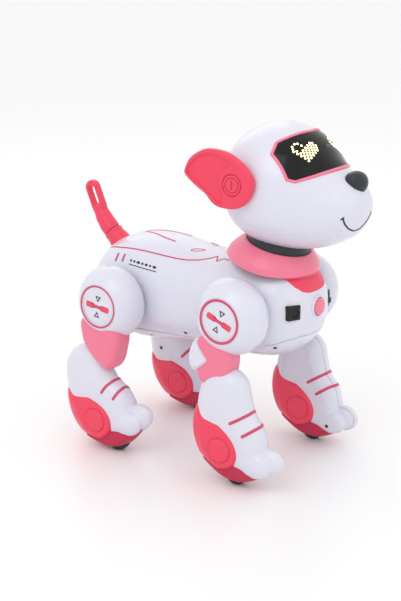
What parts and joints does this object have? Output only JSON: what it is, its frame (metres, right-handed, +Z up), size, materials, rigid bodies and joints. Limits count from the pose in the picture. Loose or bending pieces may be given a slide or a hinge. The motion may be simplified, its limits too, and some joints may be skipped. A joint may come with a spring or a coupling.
{
  "type": "robot dog toy",
  "caption": "Toy robot dog that stands on rollered feet, with turning head, ears, tail and hips, a dark visor with heart-shaped eyes and a chest button.",
  "frame": {"origin": "on the floor, under the middle of the object's box", "axes": "+X forward through the nose, +Y to the dog's left, +Z up"},
  "size_m": [0.2438, 0.131, 0.2496],
  "materials": {
    "white_shell": "gloss moulded, faint cool tint",
    "light_pink": "satin moulded",
    "coral": "satin moulded",
    "dark_coral": "matt moulded",
    "dark_grey": "satin",
    "black_lens": "polished dark lens",
    "black_plastic": "fine grain",
    "roller_rubber": "matt",
    "screw_steel": "bright zinc",
    "board_green": "solder mask",
    "gearbox_grey": "as moulded"
  },
  "bodies": {
    "trunk": {"body_shell": "white_shell", "belly_cover": "white_shell", "back_cover": "white_shell", "back_trim": "dark_coral", "chest_bib": "coral", "battery_door": "white_shell", "belly_screws": "screw_steel", "collar_ring": "light_pink", "neck_post": "gearbox_grey", "neck_boot": "dark_grey", "button_bezel": "white_shell", "charging_jack": "black_plastic", "switch_plate": "black_plastic", "battery_pack": "gearbox_grey", "main_board": "board_green", "speaker": "black_plastic", "front_gearboxes": "gearbox_grey", "rear_gearboxes": "gearbox_grey", "tail_socket": "coral"},
    "chest_button": {"chest_button": "coral"},
    "power_switch": {"switch_knob": "black_plastic"},
    "head": {"head_shell": "white_shell", "head_base": "white_shell", "visor_bezel": "light_pink", "visor_lens": "black_lens", "eye_light_boards": "board_green", "nose": "dark_grey"},
    "ear_right": {"ear_right": "coral"},
    "ear_left": {"ear_left": "coral"},
    "tail": {"tail": "coral"},
    "front_right_leg": {"front_hip_dome_right": "white_shell", "front_upper_limb_right": "light_pink", "front_leg_outer_shell_right": "white_shell", "front_leg_inner_shell_right": "white_shell", "front_heel_cover_right": "coral", "front_sole_right": "dark_coral", "elbow_guard_right": "white_shell"},
    "front_right_roller": {"front_roller_right": "roller_rubber"},
    "front_left_leg": {"front_hip_dome_left": "white_shell", "front_upper_limb_left": "light_pink", "front_leg_outer_shell_left": "white_shell", "front_leg_inner_shell_left": "white_shell", "front_heel_cover_left": "coral", "front_sole_left": "dark_coral", "elbow_guard_left": "white_shell"},
    "front_left_roller": {"front_roller_left": "roller_rubber"},
    "rear_right_leg": {"rear_hip_dome_right": "white_shell", "rear_upper_limb_right": "light_pink", "rear_leg_outer_shell_right": "white_shell", "rear_leg_inner_shell_right": "white_shell", "rear_heel_cover_right": "coral", "rear_sole_right": "dark_coral"},
    "rear_right_roller": {"rear_roller_right": "roller_rubber"},
    "rear_left_leg": {"rear_hip_dome_left": "white_shell", "rear_upper_limb_left": "light_pink", "rear_leg_outer_shell_left": "white_shell", "rear_leg_inner_shell_left": "white_shell", "rear_heel_cover_left": "coral", "rear_sole_left": "dark_coral"},
    "rear_left_roller": {"rear_roller_left": "roller_rubber"}
  },
  "joints": [
    {"name": "chest_button_press", "type": "slide", "parent": "trunk", "child": "chest_button", "axis": [-1, 0, 0], "range_m": [0, 0.0015], "stiffness_N_per_m": 400},
    {"name": "power_switch_slide", "type": "slide", "parent": "trunk", "child": "power_switch", "axis": [0, 0, 1], "range_m": [0, 0.003]},
    {"name": "head_turn", "type": "hinge", "parent": "trunk", "child": "head", "pos_m": [0.05387, 0, 0.163], "axis": [0.2419, 0, 0.9703], "range_deg": [-40, 40]},
    {"name": "ear_right_turn", "type": "hinge", "parent": "head", "child": "ear_right", "pos_m": [0.04687, -0.0436, 0.2113], "axis": [0, 1, 0], "range_deg": [-40, 60]},
    {"name": "ear_left_turn", "type": "hinge", "parent": "head", "child": "ear_left", "pos_m": [0.04687, 0.0436, 0.2113], "axis": [0, 1, 0], "range_deg": [-40, 60]},
    {"name": "tail_turn", "type": "hinge", "parent": "trunk", "child": "tail", "pos_m": [-0.08713, 0, 0.143], "axis": [-0.7452, 0, 0.6668], "range_deg": [-45, 45]},
    {"name": "front_right_hip", "type": "hinge", "parent": "trunk", "child": "front_right_leg", "pos_m": [0.04687, -0.0383, 0.12], "axis": [0, -1, 0], "range_deg": [-10, 90]},
    {"name": "front_right_roller_spin", "type": "hinge", "parent": "front_right_leg", "child": "front_right_roller", "pos_m": [0.05537, -0.05175, 0.009], "axis": [0, 1, 0], "continuous": true},
    {"name": "front_left_hip", "type": "hinge", "parent": "trunk", "child": "front_left_leg", "pos_m": [0.04687, 0.0383, 0.12], "axis": [0, -1, 0], "range_deg": [-10, 90]},
    {"name": "front_left_roller_spin", "type": "hinge", "parent": "front_left_leg", "child": "front_left_roller", "pos_m": [0.05537, 0.05175, 0.009], "axis": [0, 1, 0], "continuous": true},
    {"name": "rear_right_hip", "type": "hinge", "parent": "trunk", "child": "rear_right_leg", "pos_m": [-0.06013, -0.0383, 0.112], "axis": [0, -1, 0], "range_deg": [-90, 10]},
    {"name": "rear_right_roller_spin", "type": "hinge", "parent": "rear_right_leg", "child": "rear_right_roller", "pos_m": [-0.05168, -0.05175, 0.009], "axis": [0, 1, 0], "continuous": true},
    {"name": "rear_left_hip", "type": "hinge", "parent": "trunk", "child": "rear_left_leg", "pos_m": [-0.06013, 0.0383, 0.112], "axis": [0, -1, 0], "range_deg": [-90, 10]},
    {"name": "rear_left_roller_spin", "type": "hinge", "parent": "rear_left_leg", "child": "rear_left_roller", "pos_m": [-0.05168, 0.05175, 0.009], "axis": [0, 1, 0], "continuous": true}
  ]
}
